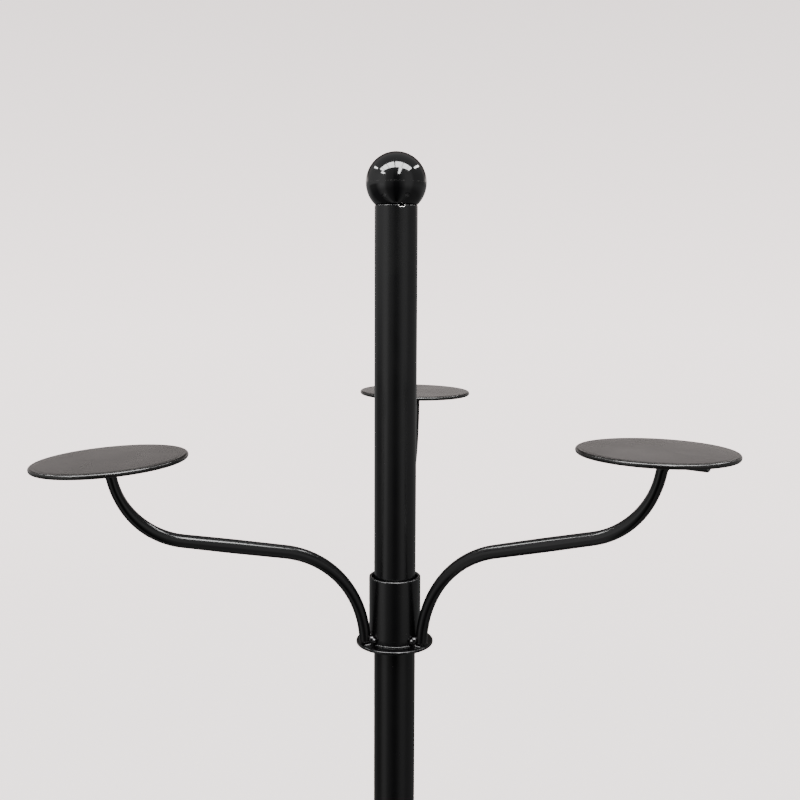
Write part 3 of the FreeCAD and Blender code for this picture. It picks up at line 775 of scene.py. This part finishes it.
def addBaseBolt(shape):
    # hexagon head with its corners turned off, and the shank that runs up into the pole
    bottom = low("base_bolt").z / mm
    bm = bmesh.new()
    corner = shape["headFlats"] / math.sqrt(3)
    bmesh.ops.create_cone(bm, cap_ends=True, segments=6, radius1=corner * mm, radius2=corner * mm,
                          depth=shape["headHeight"] * mm,
                          matrix=Matrix.Translation((0, 0, (bottom + shape["headHeight"] / 2) * mm)))
    ease(bm, shape["headEdge"], 2)
    length = high("base_bolt").z / mm - bottom - shape["headHeight"]
    bmesh.ops.create_cone(bm, cap_ends=True, segments=shape["shankSides"],
                          radius1=shape["shank"] * mm,
                          radius2=(shape["shank"] - shape["shankTaper"]) * mm, depth=length * mm,
                          matrix=Matrix.Translation((0, 0, high("base_bolt").z - length / 2 * mm)))
    return addPiece(bm, "baseBolt", "stand", zincSteel, ["base_bolt"])


addBasePlate(footShape)
addRubberFeet(footShape)
addBaseBolt(footShape)
addRing("baseSocket", "base_socket", poleRadius, footShape["socketEdge"], "stand", tubeCoat)
addRing("baseWasher", "base_washer", footShape["washerHole"], footShape["washerEdge"], "stand",
        zincSteel)
print("foot made")


# Hidden parts keep their own shape and get their own metal

hiddenMetals = {"pole_end_plug": turnedSteel, "pole_joiner": turnedSteel, "finial_plug": turnedSteel,
                "finial_stud": zincSteel, "finial_insert": turnedBrass}
for node, material in hiddenMetals.items():
    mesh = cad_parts[node].data
    mesh.materials.clear()
    mesh.materials.append(material)


# Floor and light

stageLook = {"backdrop": "#e8dddb", "backdropStrength": 3.5, "backdropTop": 2.5, "topFade": (-0.06, 0.24),
             "floor": "#eee5e3", "floorGlow": 2.2, "floorRadius": 6.0, "fade": (0.5, 2.2)}


def addFloor(look):
    # a pale floor that fades into the backdrop
    material, tree = newMaterial("paleFloor")
    coords = addNode(tree, "ShaderNodeTexCoord")
    away = addNode(tree, "ShaderNodeVectorMath", {"operation": "LENGTH"}, {0: coords.outputs["Object"]})
    fade = addNode(tree, "ShaderNodeMapRange", {"interpolation_type": "SMOOTHSTEP",
                   "From Min": look["fade"][0], "From Max": look["fade"][1]},
                   {"Value": away.outputs["Value"]})
    paint = addNode(tree, "ShaderNodeBsdfPrincipled", {"Base Color": linearColour(look["floor"]),
                    "Roughness": 0.9, "Emission Color": linearColour(look["floor"]),
                    "Emission Strength": look["floorGlow"]})
    clear = addNode(tree, "ShaderNodeBsdfTransparent")
    blend = addNode(tree, "ShaderNodeMixShader", links={0: fade.outputs["Result"], 1: paint.outputs["BSDF"],
                    2: clear.outputs["BSDF"]})
    addNode(tree, "ShaderNodeOutputMaterial", links={"Surface": blend.outputs["Shader"]})
    bm = bmesh.new()
    bmesh.ops.create_circle(bm, cap_ends=True, segments=128, radius=look["floorRadius"])
    mesh = bpy.data.meshes.new("floor")
    bm.to_mesh(mesh)
    bm.free()
    mesh.materials.append(material)
    floor = bpy.data.objects.new("floor", mesh)
    floor.visible_glossy = False
    floor.visible_diffuse = False
    bpy.context.scene.collection.objects.link(floor)


# brightness of the room round the stand, above and below the level of the eye, as
# (degrees to the right of the camera, brightness)
roomLook = {
    "upper": [(-180, 0.3), (-125, 0.42), (-85, 0.72), (-60, 0.9), (-45, 0.85), (-36, 0.42), (-14, 0.28),
              (-8, 0.1), (8, 0.1), (20, 0.32), (38, 0.6), (60, 0.6), (70, 0.34), (122, 0.25), (145, 0.3),
              (180, 0.3)],
    "lower": [(-180, 0.3), (-150, 0.34), (-130, 0.36), (-116, 0.18), (-84, 0.22), (-64, 0.95), (-50, 0.95),
              (-38, 0.4), (-14, 0.16), (-8, 0.06), (8, 0.06), (20, 0.2), (38, 0.62), (58, 0.58),
              (70, 0.34), (150, 0.3), (180, 0.3)],
    "ceiling": 0.42, "floorShade": 0.5, "backWall": "#fff5f2", "backWallBright": 1.55, "backWallDim": 0.06,
    # where each part gives way to the next, as heights or, for backEdge, depths on a sphere of radius 1
    "lowerFade": (-0.02, -0.09), "ceilingFade": (0.35, 0.9), "backEdge": (0.55, 0.85),
    "backFoot": (0.03, 0.09), "backGlow": (0.1, 0.21), "floorFade": (-0.16, -0.42),
}


def wallRing(tree, share, stops):
    ring = addNode(tree, "ShaderNodeValToRGB", links={"Fac": share})
    setRamp(ring, [((degrees + 180) / 360, grey(value)) for degrees, value in stops])
    return ring.outputs["Color"]


def addRoom(look, stage):
    world = bpy.data.worlds.new("room")
    world.use_nodes = True
    tree = world.node_tree
    tree.nodes.clear()
    coords = addNode(tree, "ShaderNodeTexCoord")
    parts = addNode(tree, "ShaderNodeSeparateXYZ", links={"Vector": coords.outputs["Generated"]})
    height, depth = parts.outputs["Z"], parts.outputs["Y"]
    forward = addNode(tree, "ShaderNodeMath", {"operation": "MULTIPLY", 1: -1.0}, {0: depth})
    azimuth = addNode(tree, "ShaderNodeMath", {"operation": "ARCTAN2"},
                      {0: parts.outputs["X"], 1: forward.outputs["Value"]})
    share = addNode(tree, "ShaderNodeMapRange", {"From Min": -math.pi, "From Max": math.pi},
                    {"Value": azimuth.outputs["Value"]})
    below = addNode(tree, "ShaderNodeMapRange", {"From Min": look["lowerFade"][0],
                   "From Max": look["lowerFade"][1]}, {"Value": height})
    walls = addNode(tree, "ShaderNodeMix", {"data_type": "RGBA"}, {
        0: below.outputs["Result"], 6: wallRing(tree, share.outputs["Result"], look["upper"]),
        7: wallRing(tree, share.outputs["Result"], look["lower"])})
    upward = addNode(tree, "ShaderNodeMapRange", {"From Min": look["ceilingFade"][0],
                   "From Max": look["ceilingFade"][1]}, {"Value": height})
    ceiling = addNode(tree, "ShaderNodeMix", {"data_type": "RGBA", 7: grey(look["ceiling"])},
                      {0: upward.outputs["Result"], 6: walls.outputs[2]})
    behind = addNode(tree, "ShaderNodeMapRange", {"From Min": look["backEdge"][0],
                   "From Max": look["backEdge"][1]}, {"Value": depth})
    raised = addNode(tree, "ShaderNodeMapRange", {"From Min": look["backFoot"][0],
                   "From Max": look["backFoot"][1]}, {"Value": height})
    mask = addNode(tree, "ShaderNodeMath", {"operation": "MULTIPLY"},
                   {0: behind.outputs["Result"], 1: raised.outputs["Result"]})
    backWall = addNode(tree, "ShaderNodeMix", {"data_type": "RGBA", 7: linearColour(look["backWall"])},
                       {0: mask.outputs["Value"], 6: ceiling.outputs[2]})
    glow = addNode(tree, "ShaderNodeMapRange", {"From Min": look["backGlow"][0],
                   "From Max": look["backGlow"][1], "To Min": look["backWallBright"],
                   "To Max": look["backWallDim"]}, {"Value": height})
    level = addNode(tree, "ShaderNodeMix", {"data_type": "FLOAT", 2: 1.0},
                    {0: mask.outputs["Value"], 3: glow.outputs["Result"]})
    shade = addNode(tree, "ShaderNodeMapRange", {"From Min": look["floorFade"][0],
                    "From Max": look["floorFade"][1], "To Min": 1.0,
                    "To Max": look["floorShade"]}, {"Value": height})
    strength = addNode(tree, "ShaderNodeMath", {"operation": "MULTIPLY"},
                       {0: level.outputs[0], 1: shade.outputs["Result"]})
    around = addNode(tree, "ShaderNodeBackground", links={"Color": backWall.outputs[2],
                     "Strength": strength.outputs["Value"]})
    fall = addNode(tree, "ShaderNodeMapRange", {"From Min": stage["topFade"][0],
                   "From Max": stage["topFade"][1], "To Min": stage["backdropStrength"],
                   "To Max": stage["backdropTop"]}, {"Value": height})
    plain = addNode(tree, "ShaderNodeBackground", {"Color": linearColour(stage["backdrop"])},
                    {"Strength": fall.outputs["Result"]})
    path = addNode(tree, "ShaderNodeLightPath")
    blend = addNode(tree, "ShaderNodeMixShader", links={0: path.outputs["Is Camera Ray"],
                    1: around.outputs["Background"], 2: plain.outputs["Background"]})
    addNode(tree, "ShaderNodeOutputWorld", links={"Surface": blend.outputs["Shader"]})
    bpy.context.scene.world = world


def addSoftbox(name, spot, aim, width, height, power):
    data = bpy.data.lights.new(name, "AREA")
    data.shape = "RECTANGLE"
    data.size = width
    data.size_y = height
    data.energy = power
    box = bpy.data.objects.new(name, data)
    box.matrix_world = Matrix.Translation(spot) @ (Vector(aim) - Vector(spot)).to_track_quat(
        "-Z", "Y").to_matrix().to_4x4()
    box.visible_camera = False
    box.visible_glossy = False
    bpy.context.scene.collection.objects.link(box)


addFloor(stageLook)
addRoom(roomLook, stageLook)
middle = (0, 0, 0.45)
# place, width, height and power of each; they light the stand but don't show in its gloss
softboxes = {
    "mainSoftbox": ((-0.9, -1.6, 2.4), 1.1, 0.8, 26),
    "fillSoftbox": ((1.3, -1.2, 2.2), 0.9, 0.8, 16),
    "backSoftbox": ((0.2, 1.8, 2.3), 1.2, 0.8, 14),
}
for name, (spot, width, height, power) in softboxes.items():
    addSoftbox(name, spot, middle, width, height, power)

# bright ceiling panels in front and at the sides, seen only as reflections in the glossy parts
windowLook = {
    "height": 1.7, "above": 0.77, "brightness": 27.0,
    # left, right, nearest and farthest edge, as shares of the height; the camera is on the minus side
    "panels": [(-1.27, -1.02, -0.74, -0.22), (-0.98, -0.56, -0.74, -0.22), (-0.53, -0.12, -0.74, -0.22),
               (-0.06, 0.36, -0.74, -0.22), (0.39, 0.8, -0.74, -0.22), (0.83, 1.12, -0.74, -0.22),
               (0.2, 0.44, -1.9, -0.74), (-1.7, -1.3, -1.3, -0.7), (-1.44, -1.27, 0.1, 0.8),
               (1.15, 1.34, 0.05, 1.05)],
}


def addWindows(look):
    material, tree = newMaterial("brightPanel")
    glow = addNode(tree, "ShaderNodeEmission", {"Strength": look["brightness"]})
    addNode(tree, "ShaderNodeOutputMaterial", links={"Surface": glow.outputs["Emission"]})
    bm = bmesh.new()
    for left, right, near, far in look["panels"]:
        corners = [bm.verts.new(Vector((x, y, 1)) * look["height"] + Vector((0, 0, look["above"])))
                   for x, y in ((left, near), (right, near), (right, far), (left, far))]
        bm.faces.new(corners)
    mesh = bpy.data.meshes.new("ceilingPanels")
    bm.to_mesh(mesh)
    bm.free()
    mesh.materials.append(material)
    panels = bpy.data.objects.new("ceilingPanels", mesh)
    for ray in ("camera", "diffuse", "shadow", "transmission"):
        setattr(panels, "visible_" + ray, False)
    bpy.context.scene.collection.objects.link(panels)


addWindows(windowLook)
print("floor and light made")
